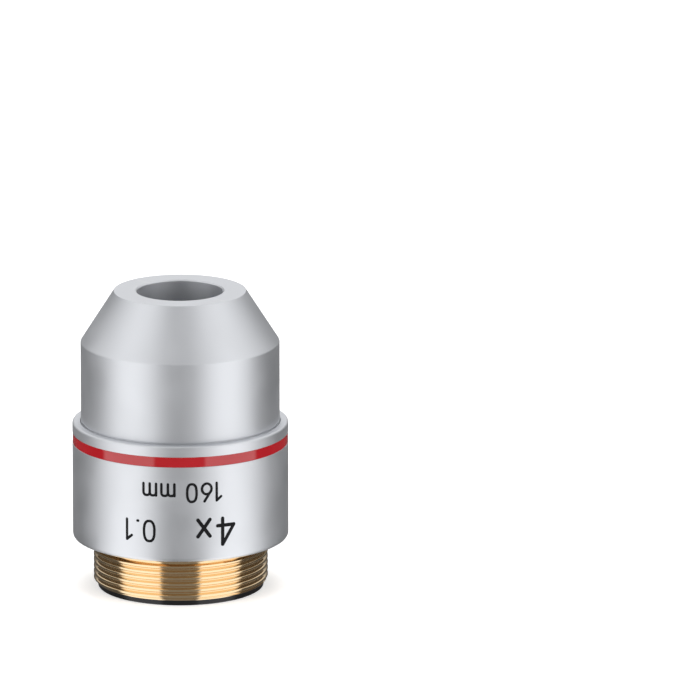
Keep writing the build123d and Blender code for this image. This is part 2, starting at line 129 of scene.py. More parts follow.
def about_axis(radius: np.ndarray, height: np.ndarray, columns: int) -> np.ndarray:
    """Points (r cos u, r sin u, z) round the optical axis, for equal steps of the angle u.

    Args:
        radius: array (columns or 1, rows).
        height: array (columns or 1, rows).
        columns: number of steps round the axis.

    Returns:
        Array (columns, rows, 3).
    """
    angle = np.linspace(0, TURN, columns, endpoint=False)[:, None]
    return np.stack([radius * np.cos(angle), radius * np.sin(angle), height + 0 * angle], axis=-1)


def spun(outline: np.ndarray, closed: bool = True) -> tuple[np.ndarray, np.ndarray]:
    """Spin an outline about the optical axis, each of its points at every step of the angle.

    Args:
        outline: array (points, 2) of radius and height, counter-clockwise.
        closed: whether the last point joins the first. An open outline starts and ends on the axis.

    Returns:
        Vertices (count, 3) and quads (count, 4).
    """
    vertices = about_axis(outline[None, :, 0], outline[None, :, 1], COLUMNS)
    index = np.arange(COLUMNS * len(outline)).reshape(COLUMNS, -1)
    index = np.concatenate([index, index[:1]], axis=0)
    if closed:
        index = np.concatenate([index, index[:, :1]], axis=1)
    return vertices.reshape(-1, 3), grid_faces(index)


def make_piece(name: str, vertices: np.ndarray, faces: np.ndarray) -> bpy.types.Object:
    """Put a surface into a mesh object at the origin, welded, with its faces outwards.

    Args:
        name: the piece's name.
        vertices: array (count, 3), in millimetres.
        faces: array (count, corners) of vertex numbers.

    Returns:
        The new object, linked to the scene.
    """
    mesh = bpy.data.meshes.new(name)
    mesh.vertices.add(len(vertices))
    mesh.vertices.foreach_set("co", (vertices * MM).astype(np.float32).ravel())
    mesh.loops.add(faces.size)
    mesh.loops.foreach_set("vertex_index", faces.astype(np.int32).ravel())
    mesh.polygons.add(len(faces))
    mesh.polygons.foreach_set("loop_start", np.arange(0, faces.size, faces.shape[1], dtype=np.int32))
    mesh.update(calc_edges=True)
    weld(mesh)
    mesh.shade_smooth()
    mesh.set_sharp_from_angle(angle=math.radians(CREASE))
    piece = bpy.data.objects.new(name, mesh)
    bpy.context.scene.collection.objects.link(piece)
    return piece


def weld(mesh: bpy.types.Mesh) -> None:
    """Merge vertices that lie together, drop flat slivers and turn the faces outwards.

    Args:
        mesh: the mesh, in metres.
    """
    cells = bmesh.new()
    cells.from_mesh(mesh)
    bmesh.ops.remove_doubles(cells, verts=cells.verts, dist=WELD * MM)
    bmesh.ops.dissolve_degenerate(cells, edges=cells.edges, dist=WELD * MM)
    bmesh.ops.recalc_face_normals(cells, faces=cells.faces)
    cells.to_mesh(mesh)
    cells.free()


def turned_piece(name: str, corners: list[tuple[float, float, float]]) -> bpy.types.Object:
    """A lathe-turned piece from its section, given as (radius, height, corner radius)."""
    return make_piece(name, *spun(rounded_outline(corners)))


def cut_away(piece: bpy.types.Object, tools: list[bpy.types.Object]) -> bpy.types.Object:
    """Subtract the tools from the piece, apply the result and remove the tools.

    Args:
        piece: the piece to cut.
        tools: closed shapes to cut away.

    Returns:
        The same piece with its new mesh.
    """
    for tool in tools:
        cut = piece.modifiers.new("cut", "BOOLEAN")
        cut.operation, cut.solver, cut.object = "DIFFERENCE", "EXACT", tool
    evaluated = piece.evaluated_get(bpy.context.evaluated_depsgraph_get())
    mesh = bpy.data.meshes.new_from_object(evaluated)
    piece.modifiers.clear()
    piece.data = mesh
    mesh.set_sharp_from_angle(angle=math.radians(CREASE))
    for tool in tools:
        bpy.data.objects.remove(tool)
    return piece


def cutting_bar(length: float, width: float, depth: float, height: float, turn: float) -> bpy.types.Object:
    """A bar that lies along a radius.

    Args:
        length: how far it reaches from the axis.
        width: its size across, level.
        depth: its size along Z.
        height: height of its middle.
        turn: its direction about Z, in radians.

    Returns:
        The cutting tool.
    """
    cells = bmesh.new()
    place = Matrix.Rotation(turn, 4, "Z") @ Matrix.Translation((length / 2, 0, height))
    shape = place @ Matrix.Diagonal((length, width, depth, 1))
    bmesh.ops.create_cube(cells, size=1, matrix=Matrix.Scale(MM, 4) @ shape)
    return cutting_tool(cells)


def cutting_drill(radius: float, length: float, height: float, turn: float) -> bpy.types.Object:
    """A drill that lies along a radius.

    Args:
        radius: its radius.
        length: how far it reaches from the axis.
        height: height of its own axis.
        turn: its direction about Z, in radians.

    Returns:
        The cutting tool.
    """
    cells = bmesh.new()
    place = Matrix.Rotation(turn, 4, "Z") @ Matrix.Translation((length / 2, 0, height))
    shape = place @ Matrix.Rotation(math.pi / 2, 4, "Y")
    bmesh.ops.create_cone(
        cells, cap_ends=True, segments=48, radius1=radius, radius2=radius, depth=length,
        matrix=Matrix.Scale(MM, 4) @ shape,
    )
    return cutting_tool(cells)


def cutting_tool(cells: bmesh.types.BMesh) -> bpy.types.Object:
    """Object for a cutter.

    Args:
        cells: the cutter's shape in metres, which is freed.

    Returns:
        The new object, linked to the scene.
    """
    mesh = bpy.data.meshes.new("cutter")
    cells.to_mesh(mesh)
    cells.free()
    tool = bpy.data.objects.new("cutter", mesh)
    bpy.context.scene.collection.objects.link(tool)
    return tool


def settle(piece: bpy.types.Object, slot: Slot, material: bpy.types.Material, *nodes: str) -> None:
    """Dress a new piece, let it ride on the body and stand for its CAD nodes.

    Args:
        piece: the finished object.
        slot: the record's slot for its finish; not used.
        material: the material it wears.
        nodes: the CAD nodes that it replaces, if any.
    """
    piece.data.materials.clear()
    piece.data.materials.append(material)
    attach(piece, BODY)
    if nodes:
        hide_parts(*nodes)
    log.info("%s: %d faces, %s", piece.name, len(piece.data.polygons), material.name)


# Finishes

class Sheet:
    """Adds nodes to one shader tree and links them."""

    def __init__(self, tree: bpy.types.NodeTree) -> None:
        """Keep the tree."""
        self.tree = tree

    def add(self, kind: str, inputs: dict | None = None, **settings: object) -> bpy.types.Node:
        """Add a node.

        Args:
            kind: the node's type name.
            inputs: values or output sockets, by the name or number of the input.
            settings: attributes of the node.

        Returns:
            The new node.
        """
        node = self.tree.nodes.new(kind)
        for name, value in settings.items():
            setattr(node, name, value)
        for name, value in (inputs or {}).items():
            if isinstance(value, bpy.types.NodeSocket):
                self.tree.links.new(value, node.inputs[name])
            else:
                node.inputs[name].default_value = value
        return node

    def group(self, tree: bpy.types.NodeTree, inputs: dict) -> bpy.types.Node:
        """Add a node group with these inputs."""
        return self.add("ShaderNodeGroup", inputs, node_tree=tree)

    def math(self, operation: str, *values: object) -> bpy.types.NodeSocket:
        """Output of a Math node with these inputs."""
        return self.add("ShaderNodeMath", dict(enumerate(values)), operation=operation).outputs[0]

    def ramp(self, value: object, low: float, high: float, start: object = 0.0, end: object = 1.0,
             shape: str = "LINEAR") -> bpy.types.NodeSocket:
        """Map a value from low..high to start..end, held at both ends."""
        inputs = {"Value": value, "From Min": low, "From Max": high, "To Min": start, "To Max": end}
        return self.add("ShaderNodeMapRange", inputs, interpolation_type=shape).outputs[0]

    def blend(self, share: object, first: object, second: object) -> bpy.types.NodeSocket:
        """Mix two colours.

        Args:
            share: how much of the second, a number or a socket.
            first: colour at 0.
            second: colour at 1.

        Returns:
            The mixed colour.
        """
        node = self.add("ShaderNodeMix", data_type="RGBA")
        for socket, value in zip((node.inputs[0], node.inputs[6], node.inputs[7]), (share, first, second)):
            if isinstance(value, bpy.types.NodeSocket):
                self.tree.links.new(value, socket)
            else:
                socket.default_value = value
        return node.outputs[2]


def new_group(name: str, inputs: dict[str, tuple[str, float | None]],
              outputs: list[str]) -> tuple[bpy.types.NodeTree, Sheet, bpy.types.Node]:
    """Start a shader node group.

    Args:
        name: the group's name.
        inputs: for each input its socket type and its default.
        outputs: names of its value outputs.

    Returns:
        The tree, a sheet to draw on and the group's input node.
    """
    tree = bpy.data.node_groups.new(name, "ShaderNodeTree")
    for label, (kind, default) in inputs.items():
        socket = tree.interface.new_socket(label, in_out="INPUT", socket_type=kind)
        if default is not None:
            socket.default_value = default
    for label in outputs:
        tree.interface.new_socket(label, in_out="OUTPUT", socket_type="NodeSocketFloat")
    sheet = Sheet(tree)
    return tree, sheet, sheet.add("NodeGroupInput")


def new_material(name: str) -> tuple[bpy.types.Material, Sheet]:
    """Start a material.

    Args:
        name: the material's name.

    Returns:
        The material, without nodes, and a sheet to draw on.
    """
    material = bpy.data.materials.new(name)
    material.use_nodes = True
    material.node_tree.nodes.clear()
    return material, Sheet(material.node_tree)


class Effects:
    """Shader node groups that the finishes share, each built once."""

    def __init__(self) -> None:
        """Build the groups."""
        self.grain = self.blasted_grain()
        self.marks = self.turning_marks()
        self.handling = self.handling_marks()
        self.wear = self.edge_wear()

    @staticmethod
    def blasted_grain() -> bpy.types.NodeTree:
        """Fine pits left by glass beads. Input: grain size in millimetres. Output: height."""
        tree, sheet, source = new_group(
            "Blasted Grain",
            {"Vector": ("NodeSocketVector", None), "Size": ("NodeSocketFloat", 0.1)},
            ["Height"],
        )
        scale = sheet.math("DIVIDE", 1 / MM, source.outputs["Size"])
        fine = sheet.add("ShaderNodeTexNoise", {
            "Vector": source.outputs["Vector"], "Scale": scale, "Detail": 2.0, "Roughness": 0.6})
        pits = sheet.add("ShaderNodeTexVoronoi", {
            "Vector": source.outputs["Vector"], "Scale": sheet.math("MULTIPLY", scale, 0.7)})
        height = sheet.math("MULTIPLY_ADD", pits.outputs["Distance"], 0.5, fine.outputs["Fac"])
        sheet.add("NodeGroupOutput", {"Height": height})
        return tree

    @staticmethod
    def turning_marks() -> bpy.types.NodeTree:
        """Fine rings that a lathe tool leaves: noise that depends on radius and height only.

        Input: mean spacing in millimetres. Output: height, 0 to 1.
        """
        tree, sheet, source = new_group(
            "Turning Marks",
            {"Vector": ("NodeSocketVector", None), "Spacing": ("NodeSocketFloat", 0.1)},
            ["Height"],
        )
        split = sheet.add("ShaderNodeSeparateXYZ", {0: source.outputs["Vector"]})
        across = sheet.math("MULTIPLY", split.outputs[0], split.outputs[0])
        radius = sheet.math("SQRT", sheet.math("MULTIPLY_ADD", split.outputs[1], split.outputs[1], across))
        section = sheet.add("ShaderNodeCombineXYZ", {0: radius, 1: split.outputs[2]})
        scale = sheet.math("DIVIDE", 1 / MM, source.outputs["Spacing"])
        rings = sheet.add("ShaderNodeTexNoise", {
            "Vector": section.outputs[0], "Scale": scale, "Detail": 1.5}, noise_dimensions="2D")
        sheet.add("NodeGroupOutput", {"Height": rings.outputs["Fac"]})
        return tree

    @staticmethod
    def handling_marks() -> bpy.types.NodeTree:
        """Soft blotches a few millimetres wide where fingers and cloths have been. Output: 0 to 1."""
        tree, sheet, source = new_group(
            "Handling Marks",
            {"Vector": ("NodeSocketVector", None), "Size": ("NodeSocketFloat", 6.0)},
            ["Mask"],
        )
        scale = sheet.math("DIVIDE", 1 / MM, source.outputs["Size"])
        cloud = sheet.add("ShaderNodeTexNoise", {
            "Vector": source.outputs["Vector"], "Scale": scale, "Detail": 4.0, "Distortion": 0.6})
        mask = sheet.ramp(cloud.outputs["Fac"], 0.35, 0.68, shape="SMOOTHSTEP")
        sheet.add("NodeGroupOutput", {"Mask": mask})
        return tree

    @staticmethod
    def edge_wear() -> bpy.types.NodeTree:
        """Polished outer edges, broken up by noise about a millimetre wide.

        Pointiness is 0.5 on a flat and more on an outer edge.
        Input: amount, 0 to 1. Output: mask, 0 to 1.
        """
        tree, sheet, source = new_group(
            "Edge Wear",
            {"Vector": ("NodeSocketVector", None), "Amount": ("NodeSocketFloat", 0.5)},
            ["Mask"],
        )
        shape = sheet.add("ShaderNodeNewGeometry")
        edge = sheet.ramp(shape.outputs["Pointiness"], 0.52, 0.62)
        patchy = sheet.add("ShaderNodeTexNoise", {
            "Vector": source.outputs["Vector"], "Scale": 0.9 / MM, "Detail": 3.0})
        broken = sheet.ramp(patchy.outputs["Fac"], 0.3, 0.6, 0.35, 1.0)
        mask = sheet.math("MULTIPLY", sheet.math("MULTIPLY", edge, broken), source.outputs["Amount"])
        sheet.add("NodeGroupOutput", {"Mask": mask})
        return tree


@dataclass(frozen=True)
class Finish:
    """An opaque finish: metal, plate, enamel or paint.

    Heights and sizes are millimetres. The colour moves from `colour` to `worn` on worn edges and in
    handling marks, and the roughness runs over the span given in `roughness`.
    """

    name: str
    colour: Colour
    worn: Colour
    roughness: tuple[float, float]
    metallic: float = 1.0
    specular: float = 0.5
    wear: float = 0.3
    mottle: float = 0.15
    grain_height: float = 0.0
    grain_size: float = 0.09
    mark_height: float = 0.0
    mark_spacing: float = 0.12
    coat: float = 0.0
    coat_roughness: float = 0.05
    coat_ior: float = 1.5

    def material(self, effects: Effects) -> bpy.types.Material:
        """Build the material.

        Args:
            effects: the shared node groups.

        Returns:
            A material with one Principled shader.
        """
        material, sheet = new_material(self.name)
        place = sheet.add("ShaderNodeTexCoord").outputs["Object"]
        marks = sheet.group(effects.marks, {"Vector": place, "Spacing": self.mark_spacing})
        handling = sheet.group(effects.handling, {"Vector": place})
        wear = sheet.group(effects.wear, {"Vector": place, "Amount": self.wear})
        spread = sheet.math("MULTIPLY_ADD", handling.outputs["Mask"], self.mottle, wear.outputs["Mask"])
        colour = sheet.blend(spread, (*self.colour, 1), (*self.worn, 1))
        rings = sheet.math("SUBTRACT", marks.outputs["Height"], 0.5)
        dulled = sheet.math("MULTIPLY_ADD", rings, 0.5, handling.outputs["Mask"])
        shader = sheet.add("ShaderNodeBsdfPrincipled", {
            "Base Color": colour,
            "Metallic": self.metallic,
            "Roughness": sheet.ramp(dulled, 0.0, 1.0, *self.roughness),
            "Specular IOR Level": self.specular,
            "Coat Weight": self.coat,
            "Coat Roughness": self.coat_roughness,
            "Coat IOR": self.coat_ior,
        })
        normal = None
        if self.mark_height:
            normal = self.bump(sheet, marks.outputs["Height"], self.mark_height, normal)
        if self.grain_height:
            grain = sheet.group(effects.grain, {"Vector": place, "Size": self.grain_size})
            normal = self.bump(sheet, grain.outputs["Height"], self.grain_height, normal)
        if normal is not None:
            sheet.tree.links.new(normal, shader.inputs["Normal"])
        sheet.add("ShaderNodeOutputMaterial", {"Surface": shader.outputs["BSDF"]})
        return material

    @staticmethod
    def bump(sheet: Sheet, height: bpy.types.NodeSocket, depth: float,
             under: bpy.types.NodeSocket | None) -> bpy.types.NodeSocket:
        """Add a bump.

        Args:
            sheet: the material's sheet.
            height: height from 0 to about 1.
            depth: what a height of 1 stands for, in millimetres.
            under: a normal to lay the bump over, if any.

        Returns:
            The bumped normal.
        """
        node = sheet.add("ShaderNodeBump", {"Height": height, "Strength": 1.0, "Distance": depth * MM})
        if under is not None:
            sheet.tree.links.new(under, node.inputs["Normal"])
        return node.outputs["Normal"]


@dataclass(frozen=True)
class CoatedGlass:
    """Polished optical glass with a thin anti-reflection coating, whose film is given in nanometres."""

    name: str = "coated_glass"
    colour: Colour = (0.97, 0.985, 0.98)
    ior: float = 1.62
    film: float = 135.0
    film_ior: float = 1.38
    smear_size: float = 3.0

    def material(self, effects: Effects) -> bpy.types.Material:
        """Build the material, with faint cleaning smears in its roughness.

        Args:
            effects: the shared node groups.

        Returns:
            A material with one Principled shader.
        """
        material, sheet = new_material(self.name)
        place = sheet.add("ShaderNodeTexCoord").outputs["Object"]
        smears = sheet.group(effects.handling, {"Vector": place, "Size": self.smear_size})
        shader = sheet.add("ShaderNodeBsdfPrincipled", {
            "Base Color": (*self.colour, 1),
            "Roughness": sheet.ramp(smears.outputs["Mask"], 0.0, 1.0, 0.0, 0.03),
            "IOR": self.ior,
            "Transmission Weight": 1.0,
            "Thin Film Thickness": self.film,
            "Thin Film IOR": self.film_ior,
        })
        sheet.add("ShaderNodeOutputMaterial", {"Surface": shader.outputs["BSDF"]})
        return material


class Finishes:
    """Every material of the objective, by name."""

    def __init__(self) -> None:
        """Build the shared effects and then the materials."""
        effects = Effects()
        self.chrome = Finish(
            "satin_chrome_plate", (0.72, 0.735, 0.765), (0.80, 0.81, 0.83), (0.49, 0.55),
            wear=0.5, grain_height=0.0012, grain_size=0.085,
        ).material(effects)
        self.brass = Finish(
            "turned_brass_lacquered", (0.84, 0.625, 0.375), (0.94, 0.77, 0.52), (0.11, 0.18),
            wear=0.6, mottle=0.3, mark_height=0.0009, mark_spacing=0.07,
            coat=0.35, coat_roughness=0.08,
        ).material(effects)
        self.blackened = Finish(
            "blackened_brass", (0.022, 0.022, 0.024), (0.16, 0.11, 0.055), (0.34, 0.5),
            metallic=0.55, wear=0.5, mottle=0.05, mark_height=0.001, mark_spacing=0.09,
        ).material(effects)
        self.anodised = Finish(
            "black_anodised_aluminium", (0.020, 0.020, 0.023), (0.10, 0.10, 0.105), (0.42, 0.58),
            metallic=0.4, wear=0.3, mottle=0.06, mark_height=0.0015, mark_spacing=0.12,
        ).material(effects)
        self.steel = Finish(
            "black_oxide_steel", (0.05, 0.05, 0.055), (0.3, 0.3, 0.31), (0.3, 0.45),
            metallic=0.8, wear=0.6, mottle=0.2, grain_height=0.001,
        ).material(effects)
        self.enamel = Finish(
            "red_enamel_gloss", (0.40, 0.004, 0.009), (0.46, 0.012, 0.02), (0.3, 0.4),
            metallic=0.0, wear=0.0, mottle=0.3, mark_height=0.0012, mark_spacing=0.16,
            specular=0.0, coat=1.0, coat_roughness=0.08, coat_ior=1.7,
        ).material(effects)
        self.paint = Finish(
            "black_figure_paint", (0.006, 0.006, 0.007), (0.016, 0.016, 0.018), (0.5, 0.65),
            metallic=0.0, wear=0.0, mottle=0.3, grain_height=0.0008, specular=0.12,
        ).material(effects)
        self.glass = CoatedGlass().material(effects)


# Pieces of the objective

@dataclass
class MountingThread:
    """The helical thread of the mount, right-handed, of 0.8 inch by 36 turns to the inch."""

    crest: float = 10.135
    pitch: float = 25.4 / 36
    depth: float = 0.32
    crest_half: float = 0.12    # in pitches
    root_start: float = 0.47    # in pitches
    bottom: float = -5.1
    top: float = -0.8
    end_chamfer: float = 0.35
    relief: float = 9.585
    run_in_slope: float = 10.0

    def form(self, steps: int = 16) -> tuple[np.ndarray, np.ndarray]:
        """One pitch of the thread's section, cut short of the full 55 degree form and a little worn.

        At a distance d from the middle of the nearest crest, in pitches, the radius is the crest's less
        depth times s s (3 - 2 s). Here s is (d - a) / (b - a) held between 0 and 1, where a is the half
        width of the crest and b is where the root begins. Half-way down, a flank leans 27 degrees.

        Args:
            steps: number of points in a pitch.

        Returns:
            Positions along the axis from 0 up to one pitch, and the radius at each.
        """
        share = np.arange(steps) / steps
        distance = np.minimum(share, 1 - share)
        fall = np.clip((distance - self.crest_half) / (self.root_start - self.crest_half), 0, 1)
        return share * self.pitch, self.crest - self.depth * fall * fall * (3 - 2 * fall)

    def limit(self, height: np.ndarray) -> np.ndarray:
        """Largest radius there: the chamfered end below and the run-in to the relief above.

        Args:
            height: heights above the shoulder.

        Returns:
            The largest radius at each height.
        """
        chamfer = self.crest - self.end_chamfer + (height - self.bottom)
        run_in = self.relief + (self.top - height) * self.run_in_slope
        return np.minimum(np.minimum(chamfer, run_in), self.crest)

    def rows(self) -> tuple[np.ndarray, np.ndarray, int]:
        """Grid rows that follow the helix.

        The point of row j at angle u lies at height h_j + pitch u / 2 pi, held between the thread's
        two ends, and its radius is the form's radius or the limit there, whichever is less.

        Returns:
            Radius and height, each of shape (columns, rows), and the number of rows in one pitch.
        """
        along, radius = self.form()
        turns = math.ceil((self.top - self.bottom) / self.pitch) + 2
        start = self.bottom - self.pitch + self.pitch * np.arange(turns)[:, None]
        base = (start + along[None, :]).ravel()
        angle = np.linspace(0, 1, COLUMNS, endpoint=False)[:, None]
        height = np.clip(base[None, :] + self.pitch * angle, self.bottom, self.top)
        form = np.tile(radius, turns)[None, :]
        return np.minimum(form, self.limit(height)), height, len(along)


@dataclass
class ThreadedMount:
    """Brass body with the mounting thread, the shoulder flange and the tube above it."""

    thread: MountingThread
    bore: float = 8.4
    shoulder_inner: float = 10.335
    shoulder_relief: float = 0.2
    flange: float = 11.87
    flange_height: float = 1.3
    tube: float = 10.15
    tube_top: float = 12.5
    tube_chamfer: float = 0.25
    edge: float = 0.06
    screw_hole: float = 0.83
    screw_height: float = 5.6
    screws: int = 3

    def build(self) -> bpy.types.Object:
        """Closed surface: the helical rows between the two ends of a plain outline.

        The last column joins the first one pitch higher in the helical rows, and at the same row
        elsewhere, so the helix runs on across the seam.

        Returns:
            The mount, with the holes for its grub screws.
        """
        thread, edge = self.thread, self.edge
        plain = rounded_outline([
            (thread.relief, thread.top + edge, 0.02),
            (thread.relief, self.shoulder_relief, 0.05),
            (self.shoulder_inner, self.shoulder_relief, 0.05),
            (self.shoulder_inner, 0.0, edge),
            (self.flange, 0.0, 0.12),
            (self.flange, self.flange_height, edge),
            (self.tube, self.flange_height, 0.05),
            (self.tube, self.tube_top - self.tube_chamfer, 0.04),
            (self.tube - self.tube_chamfer, self.tube_top, 0.04),
            (self.bore, self.tube_top, edge),
            (self.bore, thread.bottom, edge),
            (thread.crest - thread.end_chamfer, thread.bottom, 0.04),
        ])
        radius, height, pitch_rows = thread.rows()
        columns, rows = radius.shape
        radius = np.concatenate([radius, np.tile(plain[:, 0], (columns, 1))], axis=1)
        height = np.concatenate([height, np.tile(plain[:, 1], (columns, 1))], axis=1)
        vertices = about_axis(radius, height, columns)
        index = np.arange(radius.size).reshape(columns, -1)
        seam = np.arange(radius.shape[1])
        seam[:rows] = np.minimum(seam[:rows] + pitch_rows, rows - 1)
        index = np.concatenate([index, index[:1, seam]], axis=0)
        index = np.concatenate([index, index[:, :1]], axis=1)
        piece = make_piece("threaded_brass_mount", vertices.reshape(-1, 3), grid_faces(index))
        turns = TURN / self.screws * np.arange(self.screws)
        length = self.flange + 1
        drills = [cutting_drill(self.screw_hole, length, self.screw_height, turn) for turn in turns]
        return cut_away(piece, drills)

    def dress(self, finishes: Finishes) -> None:
        """Build the mount and its finish."""
        settle(self.build(), Slot.BRASS, finishes.brass, "threaded_mount")


@dataclass
class Sleeve:
    """Wide silver sleeve with its enamelled band, just inside the solid to leave room for the figures."""

    radius: float = 12.535
    bottom: float = 0.2
    top: float = 14.0
    counterbore: float = 11.9
    flange_height: float = ThreadedMount.flange_height
    bore: float = 10.2
    socket: float = 11.62
    socket_floor: float = 9.6
    band_bottom: float = 11.52
    band_top: float = 12.72
    groove: float = 12.4
    enamel: float = 12.5
    enamel_gap: float = 0.01

    def build_sleeve(self) -> bpy.types.Object:
        """Spin the sleeve's section, with the groove for the band."""
        return turned_piece("silver_sleeve", [
            (self.counterbore, self.bottom, 0.05),
            (self.radius, self.bottom, 0.45),
            (self.radius, self.band_bottom, 0.03),
            (self.groove, self.band_bottom, 0.02),
            (self.groove, self.band_top, 0.02),
            (self.radius, self.band_top, 0.03),
            (self.radius, self.top, 0.26),
            (self.socket, self.top, 0.05),
            (self.socket, self.socket_floor, 0.06),
            (self.bore, self.socket_floor, 0.05),
            (self.bore, self.flange_height, 0.05),
            (self.counterbore, self.flange_height, 0.05),
        ])

    def build_band(self) -> bpy.types.Object:
        """Spin the ring of enamel."""
        inner = self.groove + self.enamel_gap
        return turned_piece("red_enamel_band", [
            (inner, self.band_bottom, 0.02),
            (self.enamel, self.band_bottom, 0.03),
            (self.enamel, self.band_top, 0.03),
            (inner, self.band_top, 0.02),
        ])

    def dress(self, finishes: Finishes) -> None:
        """Build both pieces and their finishes."""
        settle(self.build_sleeve(), Slot.CHROME, finishes.chrome, "outer_sleeve")
        settle(self.build_band(), Slot.ENAMEL, finishes.enamel, "colour_band")


@dataclass
class NoseCap:
    """Silver cap over the lens barrel: a skirt, a straight part, and a cone with the front hole."""

    bore: float = Sleeve.bore
    radius: float = 11.54
    skirt_bottom: float = Sleeve.socket_floor
    seam: float = Sleeve.top
    seam_groove: float = 0.15
    cone_base: float = 23.43
    top: float = 29.5
    face: float = 7.67
    hole: float = 5.0
    hole_bevel: float = 0.15
    inner_top: float = 26.3
    cavity: float = 8.3

    def build(self) -> bpy.types.Object:
        """Spin the cap's section."""
        slope = (self.radius - self.face) / (self.top - self.cone_base)
        inner_shoulder = self.inner_top - (self.bore - self.cavity) / slope
        groove = self.radius - self.seam_groove
        return turned_piece("silver_nose_cap", [
            (self.bore, self.skirt_bottom, 0.05),
            (self.radius, self.skirt_bottom, 0.25),
            (self.radius, self.seam, 0.02),
            (groove, self.seam, 0.02),
            (groove, self.seam + self.seam_groove, 0.02),
            (self.radius, self.seam + self.seam_groove, 0.03),
            (self.radius, self.cone_base, 0.35),
            (self.face, self.top, 0.1),
            (self.hole + self.hole_bevel, self.top, 0.03),
            (self.hole, self.top - self.hole_bevel, 0.03),
            (self.hole, self.inner_top, 0.06),
            (self.cavity, self.inner_top, 0.06),
            (self.bore, inner_shoulder, 0.06),
        ])

    def dress(self, finishes: Finishes) -> None:
        """Build the cap and its finish."""
        settle(self.build(), Slot.CHROME, finishes.chrome, "nose_cap")


@dataclass
class RearStopRing:
    """Black ring under the thread, with two slots for a spanner in the face that the part stands on."""

    flange: float = 9.635
    bottom: float = -5.75
    seat: float = MountingThread.bottom
    spigot: float = 8.35
    spigot_top: float = -3.1
    bore: float = 6.65
    mouth: float = 0.9
    slot_width: float = 1.3
    slot_depth: float = 0.9
    slot_reach: float = 8.55

    def dress(self, finishes: Finishes) -> None:
        """Spin the ring, cut its slots and give it its finish."""
        ring = turned_piece("black_stop_ring", [
            (self.bore, self.bottom, 0.06),
            (self.flange, self.bottom, 0.18),
            (self.flange, self.seat, 0.05),
            (self.spigot, self.seat, 0.04),
            (self.spigot, self.spigot_top, 0.06),
            (self.bore + self.mouth, self.spigot_top, 0.04),
            (self.bore, self.spigot_top - self.mouth, 0.04),
        ])
        bars = [
            cutting_bar(self.slot_reach, self.slot_width, self.slot_depth * 2, self.bottom, turn)
            for turn in (0.0, math.pi)
        ]
        settle(cut_away(ring, bars), Slot.BLACKENED, finishes.blackened, "rear_stop_ring")


@dataclass
class Lens:
    """One lens: its CAD node and the radii of curvature of its faces. A negative radius is hollow."""

    node: str
    front: float
    back: float
    front_land: float = 0.0
    back_land: float = 0.0

    def build(self) -> bpy.types.Object:
        """Spin the lens from pole to pole.

        A spherical face of curvature radius c lies c - sqrt(c^2 - r^2) from its vertex at the radius r.
        Its place and its diameter are those of the CAD node.

        Returns:
            The lens.
        """
        low, high = (np.array(corner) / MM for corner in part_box(self.node))
        rim = (high[0] - low[0]) / 2
        back_radius, back_depth = self.face(self.back, rim, self.back_land)
        front_radius, front_depth = self.face(self.front, rim, self.front_land)
        back_height = low[2] + (back_depth if self.back > 0 else back_depth[-1] - back_depth)
        front_height = high[2] - (front_depth if self.front > 0 else front_depth[-1] - front_depth)
        outline = np.stack([
            np.concatenate([back_radius, front_radius[::-1]]),
            np.concatenate([back_height, front_height[::-1]]),
        ], axis=1)
        return make_piece(self.node + "_polished", *spun(outline, closed=False))

    @staticmethod
    def face(curve: float, rim: float, land: float, steps: int = 28) -> tuple[np.ndarray, np.ndarray]:
        """Half the section of a face.

        Args:
            curve: radius of curvature.
            rim: the lens's radius.
            land: width of the flat at the rim, if any.
            steps: number of points between the axis and the land.

        Returns:
            Radii from the axis to the rim, and the depth of the sphere at each.
        """
        radius = np.append(np.linspace(0, rim - land, steps), rim)
        reach = np.minimum(radius, rim - land)
        return radius, abs(curve) - np.sqrt(curve * curve - reach * reach)


class LensStack:
    """The lenses, and the finishes of the barrel, cells, rings and screws that stay as solids."""

    lenses = (
        Lens("front_crown_lens", 12.39, 12.0),
        Lens("front_flint_lens", -12.0, 60.0, front_land=0.1),
        Lens("middle_lens", -13.24, -8.28, front_land=0.45, back_land=0.55),
        Lens("rear_flint_lens", 42.0, -12.5, back_land=0.1),
        Lens("rear_crown_lens", 12.5, 11.61),
    )
    anodised = (
        "front_cell", "front_retainer", "front_spacer", "middle_cell", "middle_retainer", "aperture_stop",
        "rear_spacer", "rear_cell", "rear_retainer", "stack_lock_ring",
    )
    brass = ("parfocal_lock_nut", "air_gap_shim")

    def dress(self, finishes: Finishes) -> None:
        """Build the lenses and dress the nodes that stay."""
        for lens in self.lenses:
            settle(lens.build(), Slot.GLASS, finishes.glass, lens.node)
        for node in self.anodised:
            self.paint_node(node, finishes.anodised)
        for node in self.brass:
            self.paint_node(node, finishes.brass)
        self.paint_node("lens_barrel", finishes.blackened)
        self.paint_node("barrel_grub_screws", finishes.steel)

    @staticmethod
    def paint_node(node: str, material: bpy.types.Material) -> None:
        """Put the material on a CAD node."""
        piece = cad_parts[node]
        piece.data.materials.clear()
        piece.data.materials.append(material)
        log.info("%s: CAD solid, %s", node, material.name)


# Figures on the sleeve

Stroke = np.ndarray
LINE_POINTS = 24
BOW_POINTS = 49


def line(x0: float, y0: float, x1: float, y1: float) -> Stroke:
    """A straight stroke of an engraver's letter, from (x0, y0) to (x1, y1)."""
    share = np.linspace(0, 1, LINE_POINTS)[:, None]
    return np.array([[x0, y0]]) * (1 - share) + np.array([[x1, y1]]) * share


